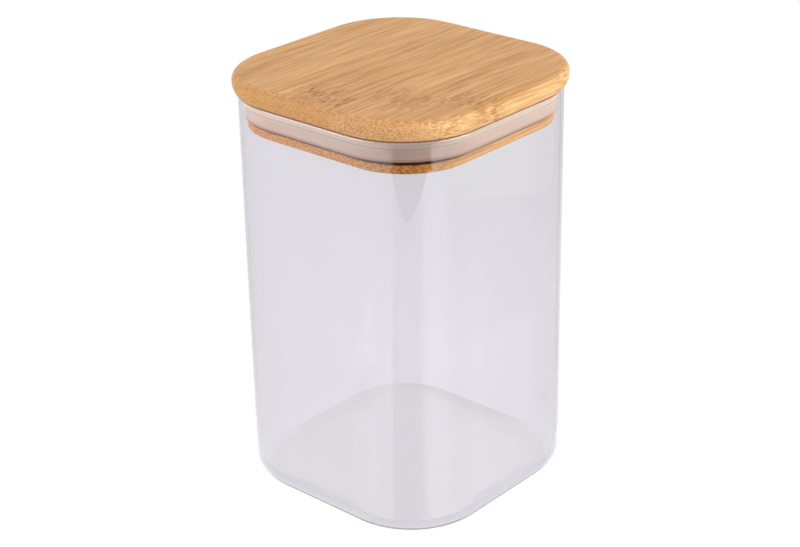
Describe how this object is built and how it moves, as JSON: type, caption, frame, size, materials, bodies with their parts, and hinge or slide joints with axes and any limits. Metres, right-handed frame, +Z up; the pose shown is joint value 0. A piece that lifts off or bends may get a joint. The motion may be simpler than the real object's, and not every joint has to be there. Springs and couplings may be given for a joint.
{
  "type": "food canister",
  "caption": "Square glass canister with large rounded corners and a lift-off bamboo plug lid, sealed in the mouth by a silicone ring.",
  "frame": {"origin": "middle of the base, on the surface that the canister stands on", "axes": "+Z up through the lid, sides facing X and Y, the bamboo's grain along Y"},
  "size_m": [0.1026, 0.1026, 0.159],
  "materials": {
    "clear_glass": "clear, polished",
    "silicone": "milky, translucent, satin",
    "bamboo": "oiled, satin, fine straight grain"
  },
  "bodies": {
    "jar": {"jar_body": "clear_glass"},
    "lid": {"lid_plate_strip_1": "bamboo", "lid_plate_strip_2": "bamboo", "lid_plate_strip_3": "bamboo", "lid_plate_strip_4": "bamboo", "lid_plate_strip_5": "bamboo", "plug_core_strip_1": "bamboo", "plug_core_strip_2": "bamboo", "plug_core_strip_3": "bamboo", "plug_core_strip_4": "bamboo", "plug_lip_strip_1": "bamboo", "plug_lip_strip_2": "bamboo", "plug_lip_strip_3": "bamboo", "plug_lip_strip_4": "bamboo", "plug_lip_strip_5": "bamboo", "seal_ring": "silicone"}
  },
  "joints": [
    {"name": "lid_lift", "type": "slide", "parent": "jar", "child": "lid", "axis": [0, 0, 1], "range_m": [0, 0.05]}
  ]
}
